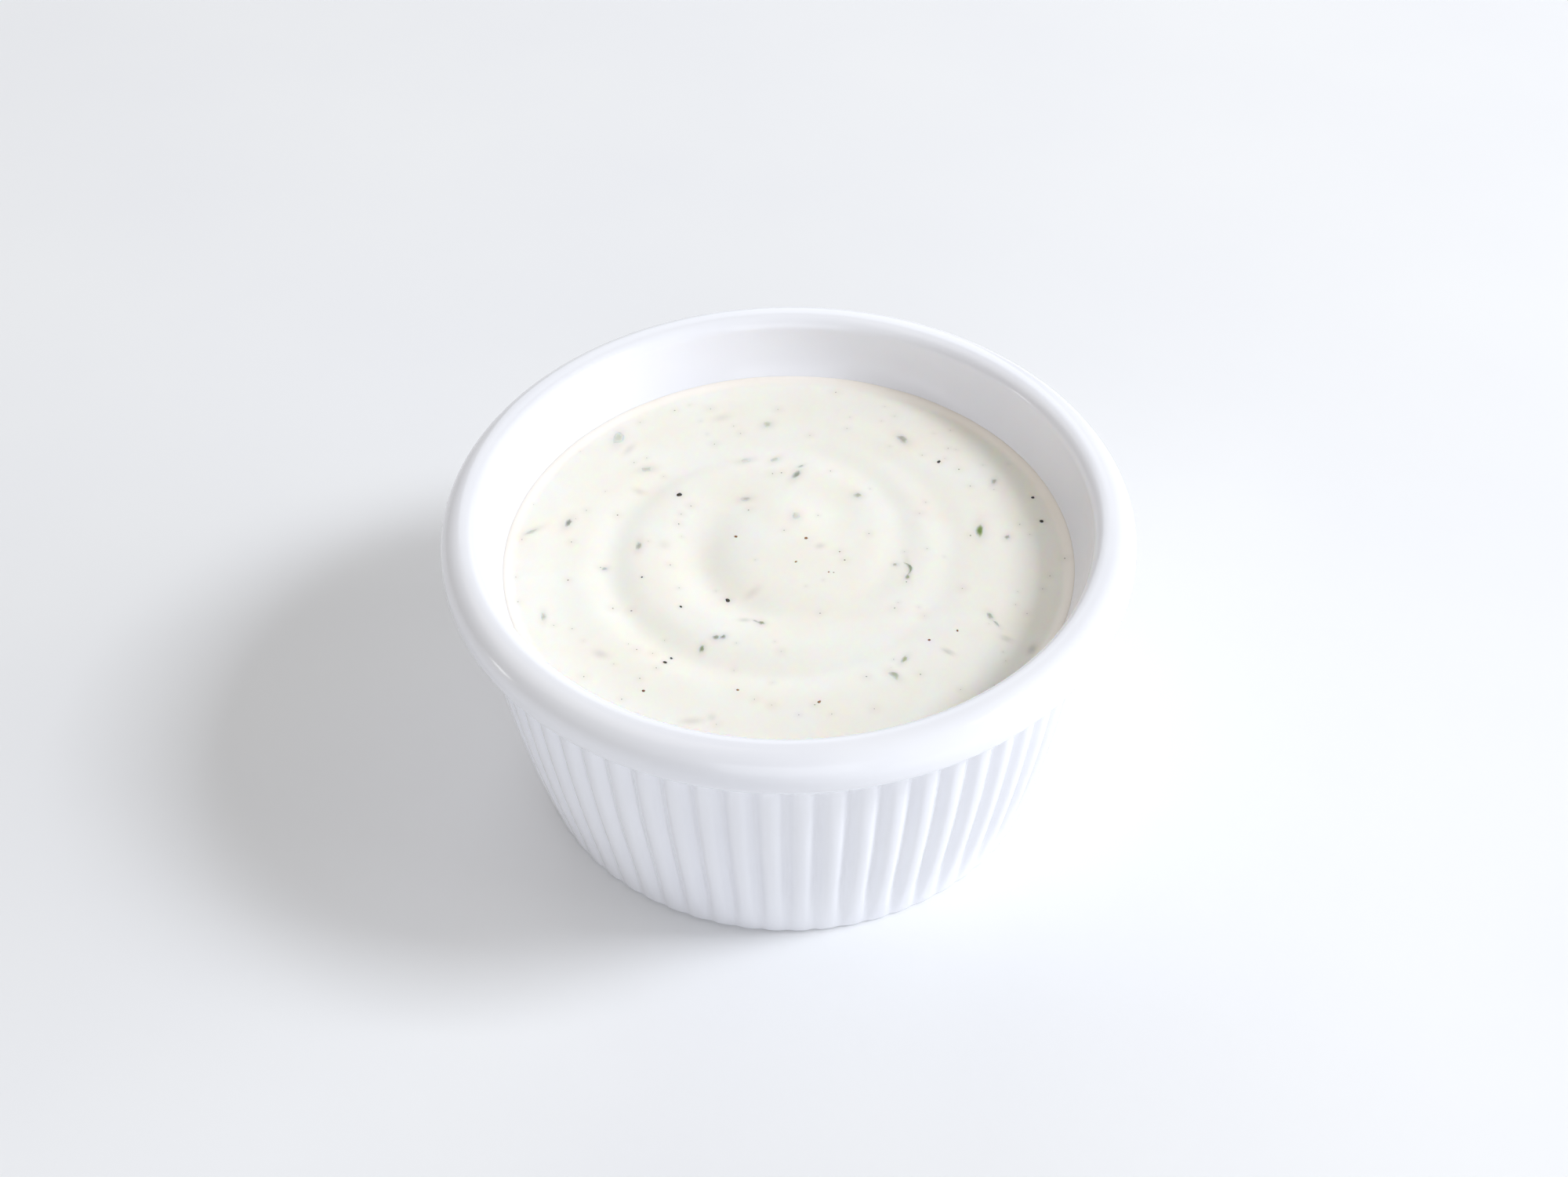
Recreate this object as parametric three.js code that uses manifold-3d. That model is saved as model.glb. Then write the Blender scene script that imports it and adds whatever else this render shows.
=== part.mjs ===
// A small fluted dish of white melamine, filled with herb dip stirred into a flat swirl.
//
// Millimetres, +Z up. The origin is the middle of the foot, on the surface that the dish
// stands on. Every profile is drawn as (radius, height) and turned about the Z axis.

import * as THREE from 'three';
import { mergeVertices } from 'three/addons/utils/BufferGeometryUtils.js';
import Module from 'manifold-3d';

const wasm = await Module();
wasm.setup();

// ---- Driving dimensions -------------------------------------------------------------------

const DISH_HEIGHT = 40.7;
const RIM_RADIUS = 42.0;          // outermost point of the rim
const RIM_INNER = 36.85;          // inner edge of the rim
const RIM_TOP_ROUND = 3.0;        // outer upper rounding
const RIM_LOWER_ROUND = 1.6;      // outer lower rounding
const RIM_LIP_ROUND = 1.8;        // inner rounding, towards the dip
const RIM_UNDERSIDE = 35.4;       // height of the rim's underside

const FOOT_RADIUS = 32.6;
const FOOT_ROUND = 0.25;
const RECESS_RADIUS = 28.0;       // shallow recess under the dish
const RECESS_DEPTH = 0.8;

const FLOOR = 4.2;                // height of the inner floor
const FLOOR_RADIUS = 25.8;        // its flat part
const FLOOR_CORNER = 30.8;        // where floor and wall would meet in a sharp corner
const WALL_LOW = [31.6, 11.0];    // inner wall: radius and height, low and at the dip's level
const WALL_LEVEL = [34.8, 32.4];
const WALL_BOW = 0.4;             // how far it bows outwards between the dip and the rim

const RIB_COUNT = 64;
const RIB_TURN = 2;               // degrees from the front to the nearest crest, towards +X
const RIB_DEPTH = 0.9;            // from crest to groove
const RIB_BREADTH = 1.6;          // above 1, the crests are broader than the grooves
const RIB_LOW = [33.3, 2.0];      // crest of the ribs: low, middle and high point
const RIB_MIDDLE = [35.95, 14.0];
const RIB_HIGH = [38.2, 30.0];
const RIB_START = 0.25;           // height where the ribs end above the foot
const RIB_FOOT = [-4.0, 12.0];    // the grooves deepen over these heights
const RIB_FADE = [32.3, 34.8];    // and die away over these
const FLARE_START = 30.8;         // height where the ribs start to lean out to the rim
const FLARE_BEND = [38.75, 34.2]; // corner that the flare rounds off
const FLARE_BITE = 0.3;           // how far it runs up into the rim
const FLARE_ROWS = 2;
const RIB_BAND = 2.0;             // thickness of the ring of wall that carries them
const RIB_BACKING = 1.3;          // depth of the smooth wall behind the crests

const DIP_GAP = 0.3;              // clearance between the dip and the dish
const DIP_LEVEL = WALL_LEVEL[1];
const MENISCUS = [0.45, 1.6];     // the dip's climb at the wall: height and reach inwards
const DIP_RINGS = 17;             // rings of faces across the dip's surface

// The furrow that the spoon left: its radius, depth and breadth every quarter turn, from the
// middle outwards. It runs counterclockwise from the +Y side.
const SWIRL_RADIUS = [12.0, 9.8, 8.9, 12.6, 19.8, 21.2, 19.0, 19.2, 23.5, 27.5, 29.5];
const SWIRL_DEPTH = [0.0, 0.88, 0.55, 0.32, 0.4, 0.62, 0.5, 0.24, 0.16, 0.12, 0.0];
const SWIRL_BREADTH = [3.6, 3.7, 3.3, 2.5, 2.7, 2.7, 2.6, 2.4, 2.3, 2.2, 2.0];
const SWIRL_LEAN = 0.8;           // above 0, its outer side is the steeper one

// Mounds and a dent where the spoon was lifted out: x, y, height and reach.
const MOUNDS = [
  [0.3, 5.5, 0.32, 5.0],
  [6.2, 9.0, -0.33, 3.9],
  [-2.7, 1.8, 0.19, 2.9],
];

// Herb flakes that show most: x, y, length, width and turn in degrees.
const BIG_FLAKES = [
  [-22.1, 22.9, 2.2, 1.2, 80],
  [-27.6, 6.6, 1.8, 1.4, 20],
  [-32.0, 4.9, 1.8, 0.7, 40],
  [-18.5, 2.1, 1.8, 1.1, 85],
  [-18.1, 16.9, 1.4, 1.0, 10],
  [-29.4, -10.3, 1.4, 0.9, 95],
  [-10.3, -15.6, 1.1, 0.8, 80],
  [-8.3, -14.0, 1.3, 0.9, 10],
  [-3.3, -11.1, 1.3, 0.8, 140],
  [1.1, 15.3, 2.0, 1.2, 70],
  [13.5, -17.8, 1.2, 0.8, 60],
  [12.2, -20.4, 1.4, 1.0, 130],
  [15.0, 22.2, 2.2, 1.4, 120],
  [14.5, -2.6, 3.2, 0.9, 95],
  [23.9, 4.4, 2.6, 1.1, 80],
  [24.1, -10.8, 1.6, 0.9, 110],
  [26.3, 13.6, 1.2, 0.8, 70],
];
const FLAKE_THICKNESS = 0.5;
const SMALL_FLAKES = 18;
const SMALL_FLAKE_LENGTH = [0.9, 1.4];
const SMALL_FLAKE_WIDTH = 0.65;   // as a share of the length
const SMALL_FLAKE_REACH = 30.8;   // radius of the area that they are spread over
const SEED = 7;

const SMOOTH_SIDES = 60;          // facets round the smooth parts
const RIB_FACETS = 4;             // facets across one rib
const RIB_ROWS = 4;               // rows of facets up the ribs, below the flare

// ---- Shared helpers -----------------------------------------------------------------------

const QUARTER = Math.PI / 2;
const TURN = 2 * Math.PI;

function smoothstep(from, to, x) {
  return THREE.MathUtils.smoothstep(x, from, to);
}

// A seeded generator, so that the scatter is the same each time.
function seeded(seed) {
  let state = seed;
  return () => {
    state = (state * 16807) % 2147483647;
    return state / 2147483647;
  };
}

// A smooth curve through equally spaced values, read at a position counted in steps.
function through(values, position) {
  const last = values.length - 1;
  const at = THREE.MathUtils.clamp(position, 0, last);
  const i = Math.min(Math.floor(at), last - 1);
  const t = at - i;
  const b = values[i];
  const c = values[i + 1];
  const a = i > 0 ? values[i - 1] : 2 * b - c;
  const d = i + 2 <= last ? values[i + 2] : 2 * c - b;
  return b + 0.5 * t * (c - a + t * (2 * a - 5 * b + 4 * c - d + t * (3 * (b - c) + d - a)));
}

// A profile of (radius, height) turned about the Z axis.
function turned(points, sides) {
  return new THREE.LatheGeometry(points, sides).rotateX(QUARTER);
}

function solidOf(geometry) {
  const bare = geometry.clone();
  bare.deleteAttribute('normal');
  bare.deleteAttribute('uv');
  const merged = mergeVertices(bare, 1e-4);
  const triVerts = Uint32Array.from(merged.index.array);
  const vertProperties = Float32Array.from(merged.attributes.position.array);
  return new wasm.Manifold(new wasm.Mesh({ numProp: 3, vertProperties, triVerts }));
}

function geometryOf(solid) {
  const { vertProperties, triVerts } = solid.getMesh();
  const geometry = new THREE.BufferGeometry();
  geometry.setAttribute('position', new THREE.BufferAttribute(vertProperties, 3));
  geometry.setIndex(new THREE.BufferAttribute(triVerts, 1));
  geometry.computeVertexNormals();
  return geometry;
}

// ---- The dish -----------------------------------------------------------------------------

// Smooth body of the dish, from the underside out, over the rim and down to the floor.
// Its outer wall runs inside the ribs.
function cupProfile() {
  const lipHeight = DISH_HEIGHT - RIM_LIP_ROUND;
  const sideTop = DISH_HEIGHT - RIM_TOP_ROUND;
  const path = new THREE.Path();
  path.moveTo(0, RECESS_DEPTH);
  path.lineTo(RECESS_RADIUS - RECESS_DEPTH, RECESS_DEPTH);
  path.lineTo(RECESS_RADIUS, 0);
  path.lineTo(FOOT_RADIUS - FOOT_ROUND, 0);
  path.absarc(FOOT_RADIUS - FOOT_ROUND, FOOT_ROUND, FOOT_ROUND, -QUARTER, 0);
  path.lineTo(RIB_LOW[0] - RIB_BACKING, RIB_LOW[1] + RIB_START);
  path.lineTo(RIB_MIDDLE[0] - RIB_BACKING, RIB_MIDDLE[1]);
  path.lineTo(RIB_HIGH[0] - RIB_BACKING, RIB_HIGH[1]);
  path.lineTo(RIB_HIGH[0] - RIB_BACKING, RIM_UNDERSIDE);
  path.lineTo(RIM_RADIUS - RIM_LOWER_ROUND, RIM_UNDERSIDE);
  path.absarc(RIM_RADIUS - RIM_LOWER_ROUND, RIM_UNDERSIDE + RIM_LOWER_ROUND,
    RIM_LOWER_ROUND, -QUARTER, 0);
  path.absarc(RIM_RADIUS - RIM_TOP_ROUND, sideTop, RIM_TOP_ROUND, 0, QUARTER);
  path.absarc(RIM_INNER + RIM_LIP_ROUND, lipHeight, RIM_LIP_ROUND, QUARTER, Math.PI);
  path.quadraticCurveTo(RIM_INNER - WALL_BOW, RIM_UNDERSIDE, WALL_LEVEL[0], WALL_LEVEL[1]);
  path.lineTo(WALL_LOW[0], WALL_LOW[1]);
  path.quadraticCurveTo(FLOOR_CORNER, FLOOR, FLOOR_RADIUS, FLOOR);
  path.lineTo(0, FLOOR);
  return distinct(path.getPoints(2));
}

// The same path with repeated points left out.
function distinct(points) {
  return points.filter((point, i) => i === 0 || point.distanceTo(points[i - 1]) > 0.02);
}

// Radius of the ribs' crests: one even bow through three points.
function crestRadius(height) {
  const [[r0, z0], [r1, z1], [r2, z2]] = [RIB_LOW, RIB_MIDDLE, RIB_HIGH];
  const low = (height - z1) * (height - z2) / ((z0 - z1) * (z0 - z2));
  const middle = (height - z0) * (height - z2) / ((z1 - z0) * (z1 - z2));
  const high = (height - z0) * (height - z1) / ((z2 - z0) * (z2 - z1));
  return r0 * low + r1 * middle + r2 * high;
}

// Ring of wall that carries the ribs and flares out to the rim's lower rounding. It closes on
// itself inside the smooth body, and its top lies inside the rim.
function ribProfile() {
  const points = [new THREE.Vector2(RIB_LOW[0] - RIB_BAND, RIB_START)];
  points.push(new THREE.Vector2(crestRadius(RIB_START), RIB_START));
  for (let i = 0; i <= RIB_ROWS; i++) {
    const height = THREE.MathUtils.lerp(RIB_LOW[1], FLARE_START, i / RIB_ROWS);
    points.push(new THREE.Vector2(crestRadius(height), height));
  }
  const start = points[points.length - 1];
  const top = RIM_UNDERSIDE + FLARE_BITE;
  const end = new THREE.Vector2(RIM_RADIUS - RIM_LOWER_ROUND, top);
  const flare = new THREE.QuadraticBezierCurve(start, new THREE.Vector2(...FLARE_BEND), end);
  points.push(...flare.getPoints(FLARE_ROWS).slice(1));
  points.push(new THREE.Vector2(RIB_HIGH[0] - (RIB_BAND + RIB_BACKING) / 2, top));
  points.push(new THREE.Vector2(RIB_HIGH[0] - RIB_BAND, RIB_HIGH[1]));
  points.push(new THREE.Vector2(RIB_MIDDLE[0] - RIB_BAND, RIB_MIDDLE[1]));
  points.push(points[0].clone());
  return points;
}

// How deep the groove is at a height: it dies away under the rim and eases at the foot.
function grooveDepth(height) {
  return RIB_DEPTH * (1 - smoothstep(...RIB_FADE, height)) * smoothstep(...RIB_FOOT, height);
}

// A soft wave: 0 on the crest of a rib, 1 at the bottom of the groove.
function grooveShape(angle) {
  const across = Math.abs(((angle * RIB_COUNT / TURN) % 1 + 1.5) % 1 - 0.5) * 2;
  return Math.sin(QUARTER * Math.pow(across, RIB_BREADTH)) ** 2;
}

function ribRing() {
  const geometry = turned(ribProfile(), RIB_COUNT * RIB_FACETS);
  const position = geometry.attributes.position;
  const point = new THREE.Vector3();
  for (let i = 0; i < position.count; i++) {
    point.fromBufferAttribute(position, i);
    const radius = Math.hypot(point.x, point.y);
    const backing = crestRadius(Math.min(point.z, RIB_HIGH[1])) - RIB_BACKING;
    if (radius < backing) continue;
    const depth = grooveDepth(point.z) * grooveShape(Math.atan2(point.y, point.x));
    point.multiply(new THREE.Vector3(1 - depth / radius, 1 - depth / radius, 1));
    position.setXYZ(i, point.x, point.y, point.z);
  }
  return geometry.rotateZ(THREE.MathUtils.degToRad(RIB_TURN));
}

function dishGeometry() {
  const cup = solidOf(turned(cupProfile(), SMOOTH_SIDES));
  return geometryOf(cup.add(solidOf(ribRing())));
}

// ---- The dip ------------------------------------------------------------------------------

// Height of the stirred surface above its level: the furrow, met once in every turn, and
// the mounds in the middle.
function swirlRelief(x, y) {
  const radius = Math.hypot(x, y);
  const fromStart = ((Math.atan2(y, x) - QUARTER + 2 * TURN) % TURN) / QUARTER;
  let relief = 0;
  for (let at = fromStart; at < SWIRL_RADIUS.length - 1; at += 4) {
    const across = (radius - through(SWIRL_RADIUS, at)) / through(SWIRL_BREADTH, at);
    const furrow = Math.exp(-across * across) * (1 + SWIRL_LEAN * across);
    relief -= through(SWIRL_DEPTH, at) * furrow;
  }
  for (const [moundX, moundY, height, reach] of MOUNDS) {
    const away = Math.hypot(x - moundX, y - moundY) / reach;
    relief += height * Math.exp(-away * away);
  }
  return relief;
}

function dipHeight(x, y) {
  const wall = WALL_LEVEL[0] - DIP_GAP;
  const climb = MENISCUS[0] * smoothstep(wall - MENISCUS[1], wall, Math.hypot(x, y)) ** 2;
  return DIP_LEVEL + swirlRelief(x, y) + climb;
}

// The dip fills the dish up to its level, clear of floor and wall.
function dipProfile() {
  const edge = WALL_LEVEL[0] - DIP_GAP;
  const bottom = FLOOR + DIP_GAP;
  const path = new THREE.Path();
  path.moveTo(0, bottom);
  path.lineTo(FLOOR_RADIUS, bottom);
  path.quadraticCurveTo(FLOOR_CORNER - DIP_GAP, bottom, WALL_LOW[0] - DIP_GAP, WALL_LOW[1]);
  path.lineTo(edge, DIP_LEVEL);
  const points = path.getPoints(2);
  for (let i = DIP_RINGS - 1; i >= 0; i--) {
    points.push(new THREE.Vector2(edge * i / DIP_RINGS, DIP_LEVEL));
  }
  return points;
}

function dipBody() {
  const geometry = turned(dipProfile(), SMOOTH_SIDES);
  const position = geometry.attributes.position;
  for (let i = 0; i < position.count; i++) {
    if (position.getZ(i) < DIP_LEVEL - 0.01) continue;
    position.setZ(i, dipHeight(position.getX(i), position.getY(i)));
  }
  return solidOf(geometry);
}

// A flat leaf scrap, half sunk in the surface.
function flake([x, y, length, width, turn]) {
  const geometry = new THREE.SphereGeometry(0.5, 6, 4);
  geometry.rotateX(QUARTER);
  geometry.scale(length, width, FLAKE_THICKNESS);
  geometry.rotateZ(THREE.MathUtils.degToRad(turn));
  geometry.translate(x, y, dipHeight(x, y));
  return solidOf(geometry);
}

// Smaller flakes at even spacing by the golden angle, each with its own size and turn.
function smallFlakes() {
  const random = seeded(SEED);
  const goldenAngle = Math.PI * (3 - Math.sqrt(5));
  const [shortest, longest] = SMALL_FLAKE_LENGTH;
  const flakes = [];
  for (let i = 0; i < SMALL_FLAKES; i++) {
    const radius = SMALL_FLAKE_REACH * Math.sqrt((i + 0.5) / SMALL_FLAKES);
    const angle = goldenAngle * i;
    const length = shortest + (longest - shortest) * random();
    const width = SMALL_FLAKE_WIDTH * length;
    flakes.push([radius * Math.cos(angle), radius * Math.sin(angle), length, width,
      180 * random()]);
  }
  return flakes;
}

function dipGeometry() {
  let dip = dipBody();
  for (const size of [...BIG_FLAKES, ...smallFlakes()]) {
    dip = dip.add(flake(size));
  }
  return geometryOf(dip);
}

// ---- The model ----------------------------------------------------------------------------

const melamine = new THREE.MeshStandardMaterial({
  name: 'white melamine', color: 0xf1f3f8, roughness: 0.18, metalness: 0 });
const ranch = new THREE.MeshStandardMaterial({
  name: 'ranch dip', color: 0xf4f2e6, roughness: 0.3, metalness: 0 });

const dish = new THREE.Mesh(dishGeometry(), melamine);
dish.name = 'dish';

const dip = new THREE.Mesh(dipGeometry(), ranch);
dip.name = 'ranch_dip';

const group = new THREE.Group();
group.name = 'dish_of_ranch_dip';
group.add(dish, dip);

export default group;
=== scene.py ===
"""A small fluted dish of white melamine, filled with herb dip stirred into a flat swirl."""

import math
import random

import bmesh
import bpy
from mathutils import Matrix, Vector, kdtree, noise


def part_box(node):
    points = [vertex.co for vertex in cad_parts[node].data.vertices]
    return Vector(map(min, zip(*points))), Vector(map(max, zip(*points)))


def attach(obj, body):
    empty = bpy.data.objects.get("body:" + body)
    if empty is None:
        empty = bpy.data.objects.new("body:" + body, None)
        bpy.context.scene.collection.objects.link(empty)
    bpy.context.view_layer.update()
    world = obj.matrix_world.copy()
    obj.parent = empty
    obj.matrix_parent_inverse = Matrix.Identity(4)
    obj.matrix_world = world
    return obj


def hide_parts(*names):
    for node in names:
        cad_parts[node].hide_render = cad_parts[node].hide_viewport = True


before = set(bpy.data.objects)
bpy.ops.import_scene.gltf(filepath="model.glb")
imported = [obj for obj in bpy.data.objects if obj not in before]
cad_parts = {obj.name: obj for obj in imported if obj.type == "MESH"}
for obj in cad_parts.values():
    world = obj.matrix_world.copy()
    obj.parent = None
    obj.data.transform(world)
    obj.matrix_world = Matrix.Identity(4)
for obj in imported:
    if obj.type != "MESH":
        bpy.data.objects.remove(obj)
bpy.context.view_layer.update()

MM = 0.001

# ---- Sizes of the dish, in millimetres ------------------------------------------------------
# Points are (radius, height). They repeat the sizes that the frame was built from.

DISH_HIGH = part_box("dish")[1]
RIM_RADIUS = DISH_HIGH.x / MM
DISH_HEIGHT = DISH_HIGH.z / MM
RIM_INNER = 36.85
RIM_TOP_ROUND = 3.0
RIM_LOWER_ROUND = 1.6
RIM_LIP_ROUND = 1.8
RIM_UNDERSIDE = 35.4

FOOT_RADIUS = 32.6
FOOT_ROUND = 0.25
FOOT_TURN = -15                   # degrees: where the foot's rounding meets the wall
RECESS_RADIUS = 28.0
RECESS_DEPTH = 0.8

FLOOR = 4.2
FLOOR_RADIUS = 25.8
FLOOR_CORNER = 30.8
WALL_LOW = (31.6, 11.0)
WALL_LEVEL = (34.8, 32.4)
WALL_BOW = 0.4                    # sets how far the wall bows outwards above the dip

RIB_COUNT = 64
RIB_TURN = math.radians(2)
RIB_DEPTH = 0.9
RIB_BREADTH = 1.6                 # above 1 the ribs are broader than the grooves
RIB_LOW = (33.3, 2.0)             # three points that the crests pass through
RIB_MIDDLE = (35.95, 14.0)
RIB_HIGH = (38.2, 30.0)
RIB_START = 0.25                  # the lowest height on the crests
RIB_FOOT = (-4.0, 12.0)           # the grooves deepen over these heights
RIB_FADE = (32.3, 34.8)           # and die away over these
FLARE_START = 30.8
FLARE_BEND = (38.75, 34.2)
FLARE_TURN = -60                  # degrees: where the flare meets the rim's lower rounding

# Where the sides of each rib lie, from 0 on the crest to 1 in the groove.
RIB_SIDES = (0, 0.2, 0.4, 0.56, 0.7, 0.85, 1)

# Steps in each stretch of the dish's section.
ROUND_STEPS = 10
RIM_STEPS = 14
FLARE_STEPS = 16
RIB_STEPS = 30
TOE_STEPS = 5
RECESS_EDGE_STEPS = 4
PLAIN_STEPS = 6

# ---- Sizes of the dip, in millimetres -------------------------------------------------------

DIP_LEVEL = WALL_LEVEL[1]
DIP_GAP = 0.3                     # clearance of the frame's dip, kept below the surface
DIP_INTO_WALL = 0.1               # the surface reaches this far into the wall
DIP_RINGS = 150
DIP_SIDES = 480
DIP_FLOOR_STEPS = 5
MENISCUS = (0.45, 1.6)            # height and reach inwards
THIN_EDGE = (1.5, 0.5)            # the dip thins out between these distances from the wall

# The furrow that the spoon left: its radius, depth and breadth every quarter turn, from the
# middle outwards. It runs counterclockwise from the +Y side.
SWIRL_RADIUS = (12.0, 9.8, 8.9, 12.6, 19.8, 21.2, 19.0, 19.2, 23.5, 27.5, 29.5)
SWIRL_DEPTH = (0.0, 0.88, 0.55, 0.32, 0.4, 0.62, 0.5, 0.24, 0.16, 0.12, 0.0)
SWIRL_BREADTH = (3.6, 3.7, 3.3, 2.5, 2.7, 2.7, 2.6, 2.4, 2.3, 2.2, 2.0)
SWIRL_LEAN = 0.8                  # moves its bottom outwards and leaves a low ridge inside it

# Mounds and a dent where the spoon was lifted out: x, y, height and reach.
MOUNDS = (
    (0.3, 5.5, 0.32, 5.0),
    (6.2, 9.0, -0.33, 3.9),
    (-2.7, 1.8, 0.19, 2.9),
)

RIPPLE = (0.035, 4.0)             # faint unevenness of the surface: height and width

# ---- What floats in the dip, in millimetres -------------------------------------------------

# Herb flakes: x, y, length, width, turn in degrees, bend, tone from slate (0) to green (1),
# and how far the cream films them.
HERB_FLAKES = (
    (-22.1, 22.9, 2.2, 1.1, 80, 0.1, 0.35, 0.6),
    (-27.6, 6.6, 1.7, 0.8, 70, 0.2, 0.1, 0.15),
    (-32.0, 4.9, 1.9, 0.5, 35, 0.1, 0.3, 0.6),
    (-18.5, 2.1, 1.6, 0.7, 85, 0.1, 0.15, 0.35),
    (-18.1, 16.9, 1.5, 0.8, 15, 0.1, 0.4, 0.6),
    (-29.4, -10.3, 1.4, 0.5, 95, 0.1, 0.2, 0.5),
    (-10.3, -15.6, 1.0, 0.6, 80, 0.0, 0.7, 0.2),
    (-8.6, -14.0, 0.9, 0.8, 10, 0.0, 0.2, 0.2),
    (-7.8, -13.9, 0.8, 0.6, 60, 0.0, 0.25, 0.2),
    (-3.3, -11.1, 0.9, 0.7, 140, 0.0, 0.5, 0.15),
    (-4.0, -10.7, 0.8, 0.3, 150, 0.0, 0.2, 0.6),
    (1.1, 15.3, 1.9, 0.8, 65, 0.2, 0.1, 0.2),
    (1.7, 17.0, 1.0, 0.4, 40, 0.1, 0.1, 0.5),
    (13.5, -17.8, 1.3, 0.6, 60, 0.1, 0.8, 0.3),
    (12.2, -20.4, 1.5, 0.7, 130, 0.3, 0.75, 0.4),
    (15.0, 22.2, 2.0, 1.0, 120, 0.2, 0.2, 0.35),
    (14.7, -2.2, 2.6, 0.45, 95, 0.7, 0.45, 0.15),
    (14.5, -3.8, 0.9, 0.6, 85, 0.0, 0.75, 0.2),
    (13.1, -1.3, 0.6, 0.5, 0, 0.0, 0.1, 0.4),
    (23.9, 4.4, 2.5, 0.95, 85, 0.0, 1.0, 0.0),
    (24.1, -10.8, 1.2, 0.6, 110, 0.0, 0.15, 0.3),
    (24.7, -12.0, 1.2, 0.3, 125, 0.1, 0.1, 0.5),
    (26.3, 13.6, 1.2, 0.6, 70, 0.0, 0.2, 0.4),
    (-5.4, 18.4, 1.4, 0.8, 20, 0.0, 0.3, 0.75),
    (-1.6, 18.5, 1.4, 0.8, 50, 0.0, 0.3, 0.65),
    (-5.3, 11.0, 1.2, 0.8, 10, 0.0, 0.2, 0.55),
    (8.9, 11.4, 1.0, 0.9, 0, 0.0, 0.2, 0.45),
    (1.0, 7.1, 0.9, 1.2, 0, 0.0, 0.3, 0.65),
    (-2.6, 25.6, 1.1, 0.9, 30, 0.0, 0.4, 0.55),
    (27.2, 3.1, 0.9, 0.6, 60, 0.0, 0.0, 0.35),
    (-22.6, -1.3, 0.8, 0.6, 20, 0.0, 0.2, 0.45),
)

# Flakes sunk under the cream: x, y, length, width, turn in degrees and strength.
SUNK_FLAKES = (
    (-22.2, -16.6, 2.0, 1.2, 150, 0.24),
    (-11.2, -27.4, 2.6, 1.0, 5, 0.24),
    (-8.9, -26.9, 1.2, 1.0, 90, 0.21),
    (-20.6, 20.6, 2.4, 1.0, 60, 0.21),
    (-8.6, 26.9, 2.6, 1.4, 20, 0.17),
    (-5.3, -10.6, 1.4, 0.8, 0, 0.32),
    (18.7, -16.7, 1.6, 0.6, 145, 0.42),
    (25.7, -14.6, 1.4, 0.7, 150, 0.35),
    (-15.4, 2.4, 1.4, 1.6, 0, 0.14),
    (-19.0, 12.9, 1.8, 1.0, 160, 0.21),
    (-4.4, -6.0, 2.4, 1.2, 40, 0.17),
    (3.9, 1.7, 1.2, 0.9, 30, 0.24),
    (28.6, -16.4, 1.8, 1.0, 60, 0.42),
)

# Pepper grains: x, y and size.
PEPPER_GRAINS = (
    (-13.8, 11.6, 0.85),
    (-7.4, -6.8, 0.85),
    (19.5, 17.6, 0.6),
    (-14.6, -17.8, 0.55),
    (-13.9, -16.9, 0.4),
    (-13.0, -8.7, 0.45),
    (-17.9, -3.5, 0.35),
    (31.7, 6.0, 0.6),
    (31.0, 10.5, 0.5),
)

# Brown and orange spice: x, y and size.
SPICE_SPECKS = (
    (3.4, -24.6, 0.55),
    (2.2, 3.0, 0.5),
    (-6.5, 3.7, 0.5),
    (0.9, -1.1, 0.42),
    (-16.9, -22.6, 0.4),
    (4.9, -2.9, 0.3),
    (5.5, -3.0, 0.25),
    (20.0, -13.2, 0.4),
    (16.6, -14.6, 0.4),
    (-6.0, -22.5, 0.4),
)

# Fine dust, scattered.
DUST_COUNT = 130
DUST_SIZE = (0.14, 0.38)
DUST_FINENESS = 1.5               # above 1 most specks are small
DUST_APART = 1.0
DUST_MARGIN = 0.8                 # kept free along the wall

# The grey in the cream round each kind: its reach, by the piece's size, and its strength.
FLAKE_STAIN = (0.9, 0.22)
PEPPER_STAIN = (0.9, 0.15)
DUST_STAIN = (2.2, 0.1)
STAIN_END = 2.5                   # a stain is gone at this many times its reach
STAIN_DEPTH = 1.5                 # the surface's points lie at most this far below its level

# How far a grain's middle lies under the surface, by its size.
GRAIN_SINK = 0.12
DUST_SINK = 0.2

# Fixed seeds, so that every run gives the same shapes.
FLAKE_SEED = 5
PEPPER_SEED = 3
SPICE_SEED = 4
DUST_SEED = 6
SCATTER_SEED = 11


def hex_colour(text):
    """An sRGB hex colour as linear RGBA."""
    channels = [int(text[i:i + 2], 16) / 255 for i in (1, 3, 5)]
    linear = [c / 12.92 if c <= 0.04045 else ((c + 0.055) / 1.055) ** 2.4 for c in channels]
    return (*linear, 1.0)


def smoothstep(low, high, x):
    t = min(max((x - low) / (high - low), 0.0), 1.0)
    return t * t * (3 - 2 * t)


# ---- Shape of the dish ----------------------------------------------------------------------

def line(start, end, steps):
    """Points from start towards end, without the end."""
    return [
        (start[0] + (end[0] - start[0]) * i / steps, start[1] + (end[1] - start[1]) * i / steps)
        for i in range(steps)
    ]


def arc(centre, radius, start, end, steps=ROUND_STEPS):
    """Points on an arc, both ends included. Degrees, with 0 outwards and 90 up."""
    angles = [math.radians(start + (end - start) * i / steps) for i in range(steps + 1)]
    return [
        (centre[0] + radius * math.cos(a), centre[1] + radius * math.sin(a)) for a in angles
    ]


def bow(start, control, end, steps=ROUND_STEPS):
    """Points on a quadratic curve, both ends included."""
    points = []
    for i in range(steps + 1):
        t = i / steps
        weights = ((1 - t) ** 2, 2 * t * (1 - t), t * t)
        points.append(tuple(
            sum(w * p[axis] for w, p in zip(weights, (start, control, end)))
            for axis in (0, 1)
        ))
    return points


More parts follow.
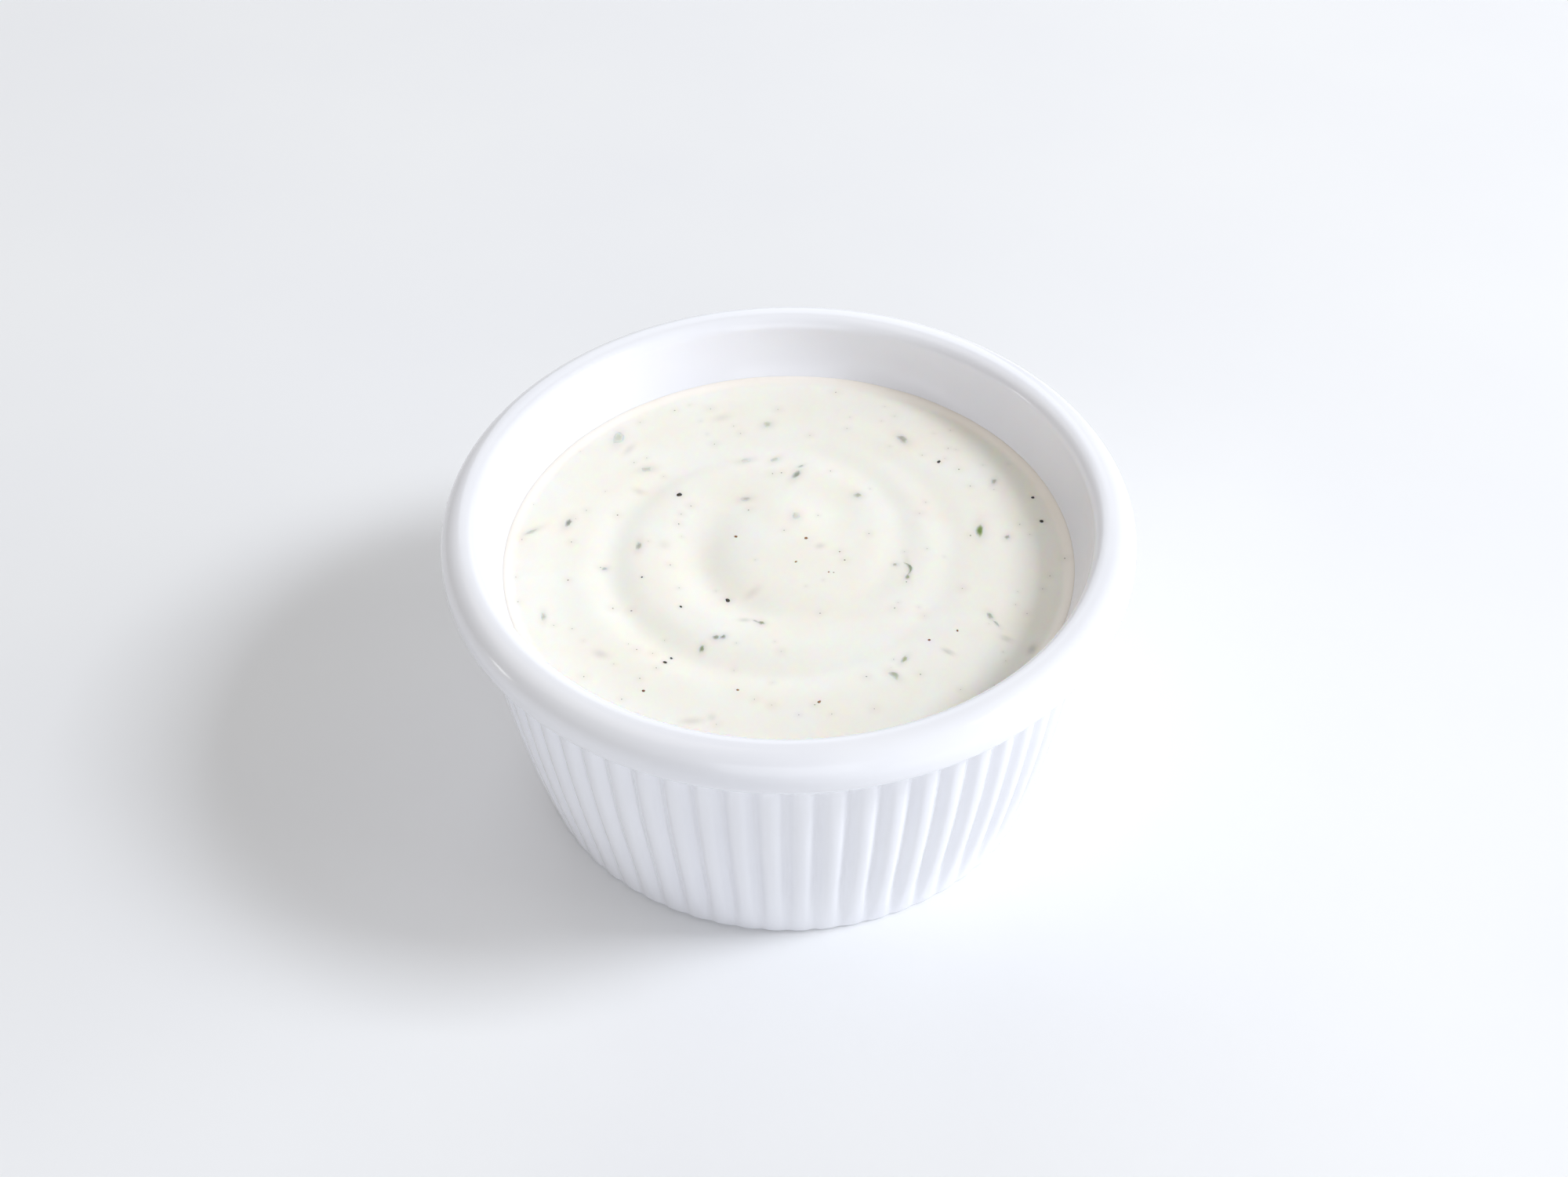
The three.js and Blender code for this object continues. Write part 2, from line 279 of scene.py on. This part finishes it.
def crest_radius(height):
    """Radius of the ribs' crests: one even bow through three points."""
    (r0, z0), (r1, z1), (r2, z2) = RIB_LOW, RIB_MIDDLE, RIB_HIGH
    low = (height - z1) * (height - z2) / ((z0 - z1) * (z0 - z2))
    middle = (height - z0) * (height - z2) / ((z1 - z0) * (z1 - z2))
    high = (height - z0) * (height - z1) / ((z2 - z0) * (z2 - z1))
    return r0 * low + r1 * middle + r2 * high


def groove_depth(height):
    """The grooves die away under the rim and ease at the foot."""
    return RIB_DEPTH * (1 - smoothstep(*RIB_FADE, height)) * smoothstep(*RIB_FOOT, height)


def groove_shape(angle):
    """A soft wave: 0 on the crest of a rib, 1 at the bottom of the groove."""
    ribs = (angle - RIB_TURN) * RIB_COUNT / (2 * math.pi)
    across = abs((ribs + 0.5) % 1 - 0.5) * 2
    return math.sin(math.pi / 2 * across ** RIB_BREADTH) ** 2


def rib_angles():
    """The angles of all sides round the dish, set by its ribs."""
    across = [-side for side in RIB_SIDES[:0:-1]] + list(RIB_SIDES[:-1])
    return [RIB_TURN + (rib + side / 2) * 2 * math.pi / RIB_COUNT
            for rib in range(RIB_COUNT) for side in across]


def even_angles(count):
    return [2 * math.pi * i / count for i in range(count)]


def dish_profile():
    """The dish's section, from the middle of its underside out, over the rim and down inside.
    Each point is (radius, height, depth of the grooves there)."""
    recess_edge = (RECESS_RADIUS - RECESS_DEPTH, RECESS_DEPTH)
    recess_bend = (RECESS_RADIUS - RECESS_DEPTH / 2, RECESS_DEPTH)
    foot_round = (FOOT_RADIUS - FOOT_ROUND, FOOT_ROUND)
    foot = (
        line((0, RECESS_DEPTH), recess_edge, PLAIN_STEPS)
        + bow(recess_edge, recess_bend, (RECESS_RADIUS, 0), RECESS_EDGE_STEPS)
        + arc(foot_round, FOOT_ROUND, -90, FOOT_TURN, PLAIN_STEPS)
    )
    rib_low = RIB_LOW[1]
    toe = rib_low - RIB_START
    heights = [RIB_START + toe * (i / TOE_STEPS) ** 2 for i in range(TOE_STEPS)]
    heights += [rib_low + (FLARE_START - rib_low) * i / RIB_STEPS for i in range(RIB_STEPS)]
    ribs = [(crest_radius(height), height) for height in heights]
    lower = (RIM_RADIUS - RIM_LOWER_ROUND, RIM_UNDERSIDE + RIM_LOWER_ROUND)
    upper = (RIM_RADIUS - RIM_TOP_ROUND, DISH_HEIGHT - RIM_TOP_ROUND)
    lip = (RIM_INNER + RIM_LIP_ROUND, DISH_HEIGHT - RIM_LIP_ROUND)
    rim = (
        arc(lower, RIM_LOWER_ROUND, FLARE_TURN, 0)
        + arc(upper, RIM_TOP_ROUND, 0, 90, RIM_STEPS)
        + arc(lip, RIM_LIP_ROUND, 90, 180)
    )
    flare_foot = (crest_radius(FLARE_START), FLARE_START)
    ribs += bow(flare_foot, FLARE_BEND, rim[0], FLARE_STEPS)[:-1]
    inside = (
        bow(rim[-1], (RIM_INNER - WALL_BOW, RIM_UNDERSIDE), WALL_LEVEL)[1:]
        + line(WALL_LEVEL, WALL_LOW, PLAIN_STEPS)[1:]
        + bow(WALL_LOW, (FLOOR_CORNER, FLOOR), (FLOOR_RADIUS, FLOOR), PLAIN_STEPS)
        + [(0, FLOOR)]
    )
    return (
        [(r, z, 0.0) for r, z in foot]
        + [(r, z, groove_depth(z)) for r, z in ribs]
        + [(r, z, 0.0) for r, z in rim + inside]
    )


def turned(name, profile, angles, height_at=None):
    """A closed mesh made by turning a profile about the Z axis. The profile starts and ends on
    the axis. Its points are (radius, height, depth of the grooves). height_at(x, y, height)
    gives a point's final height."""
    mesh = bmesh.new()
    rings = []
    for radius, height, depth in profile:
        ring = []
        for angle in angles if radius > 0 else [0.0]:
            out = radius - depth * groove_shape(angle) if depth else radius
            x, y = out * math.cos(angle), out * math.sin(angle)
            z = height_at(x, y, height) if height_at else height
            ring.append(mesh.verts.new((x * MM, y * MM, z * MM)))
        rings.append(ring)
    for inner, outer in zip(rings, rings[1:]):
        for i in range(len(angles)):
            corners = [inner[i % len(inner)], outer[i % len(outer)],
                       outer[(i + 1) % len(outer)], inner[(i + 1) % len(inner)]]
            mesh.faces.new(dict.fromkeys(corners))
    return finished(name, mesh)


def finished(name, mesh):
    """Turns a bmesh into a smooth object, with its faces pointing out."""
    bmesh.ops.recalc_face_normals(mesh, faces=mesh.faces)
    for face in mesh.faces:
        face.smooth = True
    data = bpy.data.meshes.new(name)
    mesh.to_mesh(data)
    mesh.free()
    piece = bpy.data.objects.new(name, data)
    bpy.context.scene.collection.objects.link(piece)
    return piece


# ---- Shape of the dip -----------------------------------------------------------------------

def through(values, position):
    """A smooth curve through equally spaced values, read at a position counted in steps."""
    last = len(values) - 1
    at = min(max(position, 0), last)
    i = min(int(at), last - 1)
    t = at - i
    b, c = values[i], values[i + 1]
    a = values[i - 1] if i > 0 else 2 * b - c
    d = values[i + 2] if i + 2 <= last else 2 * c - b
    return b + 0.5 * t * (c - a + t * (2 * a - 5 * b + 4 * c - d + t * (3 * (b - c) + d - a)))


def swirl_relief(x, y):
    """Height of the stirred surface above its level: the furrow, met once in every turn, and
    the mounds in the middle."""
    radius = math.hypot(x, y)
    quarter = math.pi / 2
    at = ((math.atan2(y, x) - quarter) % (2 * math.pi)) / quarter
    relief = 0.0
    while at < len(SWIRL_RADIUS) - 1:
        across = (radius - through(SWIRL_RADIUS, at)) / through(SWIRL_BREADTH, at)
        relief -= through(SWIRL_DEPTH, at) * math.exp(-across ** 2) * (1 + SWIRL_LEAN * across)
        at += 4                   # a full turn on, in quarters
    for mound_x, mound_y, height, reach in MOUNDS:
        away = math.hypot(x - mound_x, y - mound_y) / reach
        relief += height * math.exp(-away ** 2)
    return relief


def dip_height(x, y):
    """Height of the dip's surface, with its climb at the wall and its faint unevenness."""
    reach = math.hypot(x, y)
    wall = WALL_LEVEL[0]
    climb = MENISCUS[0] * smoothstep(wall - MENISCUS[1], wall, reach) ** 2
    uneven = RIPPLE[0] * noise.noise(Vector((x, y, 0)) / RIPPLE[1])
    return DIP_LEVEL + swirl_relief(x, y) + climb + uneven


def dip_surface():
    """The dip, one closed mesh. Its surface reaches just into the wall."""
    bottom = FLOOR + DIP_GAP
    wall = (WALL_LOW[0] - DIP_GAP, WALL_LOW[1])
    points = [(0, bottom)]
    points += bow((FLOOR_RADIUS, bottom), (FLOOR_CORNER - DIP_GAP, bottom), wall,
                  DIP_FLOOR_STEPS)
    points.append((WALL_LEVEL[0] - DIP_GAP, DIP_LEVEL - MENISCUS[1]))
    edge = WALL_LEVEL[0] + MENISCUS[0] / 2 + DIP_INTO_WALL
    points += [(edge * i / DIP_RINGS, DIP_LEVEL) for i in range(DIP_RINGS, -1, -1)]
    profile = [(radius, height, 0.0) for radius, height in points]

    def surface(x, y, height):
        return dip_height(x, y) if height == DIP_LEVEL else height

    piece = turned("dip_surface", profile, even_angles(DIP_SIDES), surface)
    paint_stains(piece.data)
    return piece


def paint_stains(mesh):
    """Stores how much the herbs under and round each point grey the cream there, and how much
    light can travel in the cream, which is none against the wall."""
    inside = mesh.attributes.new("inside", "FLOAT", "POINT")
    wall = WALL_LEVEL[0]
    inside.data.foreach_set("value", [
        1 - smoothstep(wall - THIN_EDGE[0], wall - THIN_EDGE[1], math.hypot(*v.co.xy) / MM)
        for v in mesh.vertices])
    stain = mesh.attributes.new("stain", "FLOAT", "POINT")
    spots = [(x, y, length / 2, width / 2, math.radians(turn), strength)
             for x, y, length, width, turn, strength in SUNK_FLAKES]
    share, strength = FLAKE_STAIN
    spots += [(x, y, share * length, share * width, math.radians(turn), strength)
              for x, y, length, width, turn, *_ in HERB_FLAKES]
    for places, (share, strength) in ((PEPPER_GRAINS, PEPPER_STAIN),
                                      (dust_places(), DUST_STAIN)):
        spots += [(x, y, share * size, share * size, 0, strength) for x, y, size in places]
    top = [v.index for v in mesh.vertices if v.co.z / MM > DIP_LEVEL - STAIN_DEPTH]
    near = kdtree.KDTree(len(top))
    for i in top:
        near.insert((*mesh.vertices[i].co.xy, 0), i)
    near.balance()
    values = [0.0] * len(mesh.vertices)
    for x, y, long_half, short_half, turn, strength in spots:
        cosine, sine = math.cos(turn), math.sin(turn)
        reach = STAIN_END * max(long_half, short_half)
        for co, i, _ in near.find_range((x * MM, y * MM, 0), reach * MM):
            dx, dy = co.x / MM - x, co.y / MM - y
            along = (dx * cosine + dy * sine) / long_half
            across = (dy * cosine - dx * sine) / short_half
            values[i] = max(values[i], strength * math.exp(-(along ** 2 + across ** 2)))
    stain.data.foreach_set("value", values)


# ---- Herbs and spices -----------------------------------------------------------------------

# Rings of a leaf scrap from its underside over its edge to its middle: share of its size,
# height above the cream in millimetres, and how much the cream films it.
SCRAP_RINGS = ((0.8, -0.14, 1.0), (1.12, -0.03, 1.0), (1.02, 0.0, 0.96), (0.84, 0.02, 0.7),
               (0.64, 0.035, 0.3), (0.36, 0.05, 0.05))
SCRAP_CORNERS = 12
SCRAP_RAGGED = (-0.25, 0.2)       # how far its corners stray, by its size
SCRAP_BEND_MIDDLE = 0.4           # keeps a bent scrap over its place


def leaf_scrap(mesh, layers, x, y, length, width, turn, bend, tone, cover, chance):
    """Adds one torn leaf scrap: an uneven thin pad that lies in the surface, with its middle
    just proud of it and the cream lapping over its edge."""
    cosine, sine = math.cos(math.radians(turn)), math.sin(math.radians(turn))
    ragged = [1 + chance.uniform(*SCRAP_RAGGED) for _ in range(SCRAP_CORNERS)]
    rings = []
    for share, lift, film in SCRAP_RINGS:
        ring = []
        for i in range(SCRAP_CORNERS):
            angle = 2 * math.pi * i / SCRAP_CORNERS
            along = 0.5 * length * math.cos(angle) * ragged[i] * share
            across = 0.5 * width * math.sin(angle) * ragged[i] * share
            across += bend * ((2 * along / length) ** 2 - SCRAP_BEND_MIDDLE)
            px, py = x + along * cosine - across * sine, y + along * sine + across * cosine
            vertex = mesh.verts.new((px * MM, py * MM, (dip_height(px, py) + lift) * MM))
            vertex[layers["tone"]] = tone
            vertex[layers["film"]] = cover + (1 - cover) * film
            ring.append(vertex)
        rings.append(ring)
    for lower, upper in zip(rings, rings[1:]):
        for i in range(SCRAP_CORNERS):
            j = (i + 1) % SCRAP_CORNERS
            mesh.faces.new((lower[i], lower[j], upper[j], upper[i]))
    mesh.faces.new(rings[0][::-1])
    mesh.faces.new(rings[-1])


def herb_flakes():
    mesh = bmesh.new()
    layers = {name: mesh.verts.layers.float.new(name) for name in ("tone", "film")}
    chance = random.Random(FLAKE_SEED)
    for flake in HERB_FLAKES:
        leaf_scrap(mesh, layers, *flake, chance)
    return finished("herb_flakes", mesh)


# A grain's shape: the size from which it has finer faces, its width and height by its length,
# and how rough it is, with the rate at which that changes over it.
GRAIN_FINE_FROM = 0.38
GRAIN_WIDTH = (0.65, 0.95)
GRAIN_HEIGHT = (0.5, 0.75)
GRAIN_ROUGH, GRAIN_ROUGH_RATE = 0.22, 5


def grains(name, places, sink, seed):
    """Small crushed grains, each an uneven ball that is partly sunk in the surface."""
    mesh = bmesh.new()
    tone_layer = mesh.verts.layers.float.new("tone")
    chance = random.Random(seed)
    for x, y, size in places:
        fineness = 2 if size > GRAIN_FINE_FROM else 1
        ball = bmesh.ops.create_icosphere(mesh, subdivisions=fineness, radius=0.5)
        turn = Matrix.Rotation(chance.uniform(0, math.pi), 4, "Z")
        squash = Matrix.Diagonal((size, size * chance.uniform(*GRAIN_WIDTH),
                                  size * chance.uniform(*GRAIN_HEIGHT), 1))
        lift = dip_height(x, y) - sink * size
        placing = Matrix.Translation((x, y, lift)) @ turn @ squash
        tone = chance.random()
        for vertex in ball["verts"]:
            bumps = noise.noise(vertex.co * GRAIN_ROUGH_RATE + Vector((x, y, size)))
            vertex.co = (placing @ (vertex.co * (1 + GRAIN_ROUGH * bumps))) * MM
            vertex[tone_layer] = tone
    return finished(name, mesh)


def dust_places():
    """Fine specks of herb and spice, spread evenly over the surface and kept apart. Each is
    its x, y and size."""
    chance = random.Random(SCATTER_SEED)
    places = []
    reach = WALL_LEVEL[0] - DUST_MARGIN
    small, large = DUST_SIZE
    while len(places) < DUST_COUNT:
        radius = reach * math.sqrt(chance.random())
        angle = chance.uniform(0, 2 * math.pi)
        x, y = radius * math.cos(angle), radius * math.sin(angle)
        size = small + (large - small) * chance.random() ** DUST_FINENESS
        if all(math.hypot(x - px, y - py) > DUST_APART for px, py, _ in places):
            places.append((x, y, size))
    return places


# ---- Materials ------------------------------------------------------------------------------

def add_node(tree, kind, inputs=None, **settings):
    """Adds a node. settings are its own properties, inputs its values or the sockets to link."""
    made = tree.nodes.new(kind)
    for key, value in settings.items():
        setattr(made, key, value)
    for key, value in (inputs or {}).items():
        if isinstance(value, bpy.types.NodeSocket):
            tree.links.new(value, made.inputs[key])
        else:
            made.inputs[key].default_value = value
    return made


def new_material(name):
    material = bpy.data.materials.new(name)
    material.use_nodes = True
    material.node_tree.nodes.clear()
    return material, material.node_tree


def finish_material(tree, **inputs):
    """Adds the surface shader with these inputs, and the output."""
    shader = add_node(tree, "ShaderNodeBsdfPrincipled",
                      {key.replace("_", " "): value for key, value in inputs.items()})
    add_node(tree, "ShaderNodeOutputMaterial", {"Surface": shader.outputs["BSDF"]})


def pattern(tree, size_mm, detail=3.0, distortion=0.0):
    """Even noise in the object's own space, with features of about that size."""
    coordinates = add_node(tree, "ShaderNodeTexCoord").outputs["Object"]
    return add_node(tree, "ShaderNodeTexNoise", {
        "Vector": coordinates, "Scale": 1 / (size_mm * MM), "Detail": detail,
        "Distortion": distortion}).outputs["Fac"]


def blend_colours(tree, amount, first, second):
    mixed = add_node(tree, "ShaderNodeMix", data_type="RGBA")
    for name, value in (("A", first), ("B", second), ("Factor", amount)):
        kind = "NodeSocketFloatFactor" if name == "Factor" else "NodeSocketColor"
        socket = next(s for s in mixed.inputs if s.name == name and s.bl_idname == kind)
        if isinstance(value, bpy.types.NodeSocket):
            tree.links.new(value, socket)
        else:
            socket.default_value = value
    return next(s for s in mixed.outputs if s.bl_idname == "NodeSocketColor")


def ranged(tree, value, low, high, start=0.35, end=0.65):
    """Spreads a value's stretch from start to end, by default a pattern's middle, over a
    range."""
    return add_node(tree, "ShaderNodeMapRange", {
        "Value": value, "From Min": start, "From Max": end, "To Min": low,
        "To Max": high}).outputs["Result"]


def moulded_melamine():
    """Moulded melamine: hard, dense and cool white. The polished mould leaves a clean gloss
    with slightly soft reflections and a faint unevenness in them."""
    material, tree = new_material("moulded_melamine")
    clouds = pattern(tree, size_mm=18)
    colour = blend_colours(tree, ranged(tree, clouds, 0, 1),
                           hex_colour("#f0f1f7"), hex_colour("#f3f4f9"))
    fine = pattern(tree, size_mm=2.5, detail=2)
    bump = add_node(tree, "ShaderNodeBump", {
        "Height": fine, "Strength": 0.04, "Distance": 0.05 * MM})
    finish_material(tree, Base_Color=colour, Roughness=ranged(tree, clouds, 0.14, 0.18),
                    Normal=bump.outputs["Normal"], IOR=1.55)
    return material


CREAM_LIGHT, CREAM_DEEP = "#fbf5ee", "#f9f2e8"
CREAM_DEPTH = 0.3                     # millimetres that light travels in the cream
CREAM_SCATTER = (1.0, 0.6, 0.3)       # share of it for red, green and blue


def ranch_cream():
    """Ranch dip: buttermilk, soured cream and mayonnaise. Thick, wet and slightly
    translucent, so its shadows are warm, with a soft gloss on the ridges and greyed where a
    flake lies under the surface."""
    material, tree = new_material("ranch_cream")
    clouds = pattern(tree, size_mm=9, distortion=0.6)
    cream = blend_colours(tree, ranged(tree, clouds, 0, 1),
                          hex_colour(CREAM_LIGHT), hex_colour(CREAM_DEEP))
    stain = add_node(tree, "ShaderNodeAttribute", attribute_name="stain").outputs["Fac"]
    colour = blend_colours(tree, stain, cream, hex_colour("#8d9a94"))
    inside = add_node(tree, "ShaderNodeAttribute", attribute_name="inside").outputs["Fac"]
    grain = pattern(tree, size_mm=0.9, detail=4)
    bump = add_node(tree, "ShaderNodeBump", {
        "Height": grain, "Strength": 0.15, "Distance": 0.06 * MM})
    finish_material(tree, Base_Color=colour, Roughness=ranged(tree, clouds, 0.28, 0.4),
                    Normal=bump.outputs["Normal"], IOR=1.42, Subsurface_Weight=inside,
                    Subsurface_Radius=CREAM_SCATTER, Subsurface_Scale=CREAM_DEPTH * MM)
    return material


def toned(tree, low, high):
    """A colour between two, by the tone stored with each flake or grain."""
    tone = add_node(tree, "ShaderNodeAttribute", attribute_name="tone").outputs["Fac"]
    return blend_colours(tree, tone, hex_colour(low), hex_colour(high))


def soaked_herb():
    """Dried parsley and chives soaked in cream: slate where the cream films them, and leaf
    green where they lie bare, with paler veins."""
    material, tree = new_material("soaked_herb")
    veins = ranged(tree, pattern(tree, size_mm=0.5, detail=4), 0, 0.5)
    leaf = blend_colours(tree, veins, toned(tree, "#5f6f69", "#54771c"),
                         toned(tree, "#93a29a", "#93aa48"))
    film = add_node(tree, "ShaderNodeAttribute", attribute_name="film").outputs["Fac"]
    colour = blend_colours(tree, film, leaf, hex_colour(CREAM_DEEP))
    finish_material(tree, Base_Color=colour, Roughness=0.4, IOR=1.42,
                    Subsurface_Weight=1.0, Subsurface_Radius=CREAM_SCATTER,
                    Subsurface_Scale=CREAM_DEPTH * MM)
    return material


def cracked_pepper():
    """Ground black pepper: near black, dull and rough, with a few brown faces."""
    material, tree = new_material("cracked_pepper")
    faces = ranged(tree, pattern(tree, size_mm=0.3, detail=2), 0, 1, start=0.5, end=0.7)
    colour = blend_colours(tree, faces, toned(tree, "#1f1e1a", "#3a362c"),
                           hex_colour("#5a5040"))
    finish_material(tree, Base_Color=colour, Roughness=0.5, IOR=1.45)
    return material


def ground_spice():
    """Ground chilli and onion skin: warm brown grains, dull."""
    material, tree = new_material("ground_spice")
    faces = ranged(tree, pattern(tree, size_mm=0.25, detail=2), 0, 1)
    colour = blend_colours(tree, faces, toned(tree, "#5b3320", "#8a5a36"),
                           hex_colour("#a5714a"))
    finish_material(tree, Base_Color=colour, Roughness=0.5, IOR=1.45)
    return material


def fine_dust():
    """Herb and spice powder: specks filmed with cream, so they are paler than the grains."""
    material, tree = new_material("fine_dust")
    faces = ranged(tree, pattern(tree, size_mm=0.3, detail=2), 0, 1)
    colour = blend_colours(tree, faces, toned(tree, "#73786a", "#8a765f"),
                           hex_colour("#a9a695"))
    finish_material(tree, Base_Color=colour, Roughness=0.5, IOR=1.45)
    return material


def pale_table():
    """A plain matt laminate top: near white, with no pattern that shows."""
    material, tree = new_material("pale_table")
    colour = blend_colours(tree, ranged(tree, pattern(tree, size_mm=60), 0, 1),
                           hex_colour("#f0f1f4"), hex_colour("#f2f3f5"))
    finish_material(tree, Base_Color=colour, Roughness=0.85)
    return material


# ---- Camera, table and light ----------------------------------------------------------------

CAMERA_PLACE = (0.0, -196.1, 215.5)   # millimetres
CAMERA_DOWN = 0.766                   # radians below the horizon
CAMERA_TURN = -0.003
CAMERA_ROLL = -0.010
CAMERA_LENS = 50.0
CAMERA_SENSOR = 36.0
CAMERA_NEAR = 0.01                    # metres
TABLE_HALF = 1.4                      # metres

# Soft lights round the dish: name, width and distance in metres, azimuth, elevation, watts and
# colour. Azimuth 0 is the +X side, 90 behind the dish.
SOFTBOXES = (
    ("key", 0.32, 1.25, -4.5, 44, 8.2, "#f5f9ff"),
    ("side_key", 0.9, 1.4, -5, 20, 6.6, "#f6faff"),
    ("front_fill", 1.0, 1.4, 270, 22, 4.0, "#f4f8ff"),
    ("top_fill", 1.0, 1.4, 150, 60, 2.1, "#fff5e8"),
    ("back_fill", 1.0, 1.4, 95, 24, 4.6, "#edf4ff"),
    ("side_glint", 0.15, 1.4, 181, 5, 0.5, "#ffffff"),
)
ROOM_LIGHT = 0.345
ROOM_COLOUR = "#fffdf9"
BACKDROP = 0.9                        # brightness of the room where it shows past the table


def add_camera():
    data = bpy.data.cameras.new("camera")
    data.lens = CAMERA_LENS
    data.sensor_width = CAMERA_SENSOR
    data.clip_start = CAMERA_NEAR
    camera = bpy.data.objects.new("camera", data)
    camera.matrix_world = (
        Matrix.Translation(Vector(CAMERA_PLACE) * MM)
        @ Matrix.Rotation(-CAMERA_TURN, 4, "Z")
        @ Matrix.Rotation(math.pi / 2 - CAMERA_DOWN, 4, "X")
        @ Matrix.Rotation(CAMERA_ROLL, 4, "Z")
    )
    bpy.context.scene.collection.objects.link(camera)
    bpy.context.scene.camera = camera


def add_table():
    mesh = bmesh.new()
    mesh.faces.new([mesh.verts.new((x * TABLE_HALF, y * TABLE_HALF, 0))
                    for x, y in ((-1, -1), (1, -1), (1, 1), (-1, 1))])
    table = finished("table", mesh)
    table.data.materials.append(pale_table())


def add_softbox(name, width, distance, azimuth, elevation, power, colour):
    """A square soft light that faces the dish and isn't seen itself."""
    data = bpy.data.lights.new(name, "AREA")
    data.size = width
    data.energy = power
    data.color = hex_colour(colour)[:3]
    light = bpy.data.objects.new(name, data)
    around, up = math.radians(azimuth), math.radians(elevation)
    away = Vector((math.cos(around) * math.cos(up), math.sin(around) * math.cos(up),
                   math.sin(up)))
    light.location = away * distance
    light.rotation_euler = away.to_track_quat("Z", "Y").to_euler()
    light.visible_camera = False
    bpy.context.scene.collection.objects.link(light)


def light_scene():
    for softbox in SOFTBOXES:
        add_softbox(*softbox)
    world = bpy.data.worlds.new("studio")
    bpy.context.scene.world = world
    world.use_nodes = True
    background = world.node_tree.nodes["Background"]
    background.inputs["Color"].default_value = hex_colour(ROOM_COLOUR)
    seen = add_node(world.node_tree, "ShaderNodeLightPath").outputs["Is Camera Ray"]
    strength = ranged(world.node_tree, seen, ROOM_LIGHT, BACKDROP, start=0, end=1)
    world.node_tree.links.new(strength, background.inputs["Strength"])
    bpy.context.scene.view_settings.view_transform = "Standard"


# ---- The model ------------------------------------------------------------------------------

def place(piece, material):
    piece.data.materials.append(material)
    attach(piece, "root")
    return piece


add_camera()
add_table()
light_scene()

dish = place(turned("fluted_dish", dish_profile(), rib_angles()),
             moulded_melamine())
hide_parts("dish")

dip = place(dip_surface(), ranch_cream())
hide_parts("ranch_dip")
place(herb_flakes(), soaked_herb())
pepper = grains("pepper_grains", PEPPER_GRAINS, GRAIN_SINK, PEPPER_SEED)
place(pepper, cracked_pepper())
spice = grains("spice_specks", SPICE_SPECKS, GRAIN_SINK, SPICE_SEED)
place(spice, ground_spice())
dust = grains("dust_specks", dust_places(), DUST_SINK, DUST_SEED)
place(dust, fine_dust())
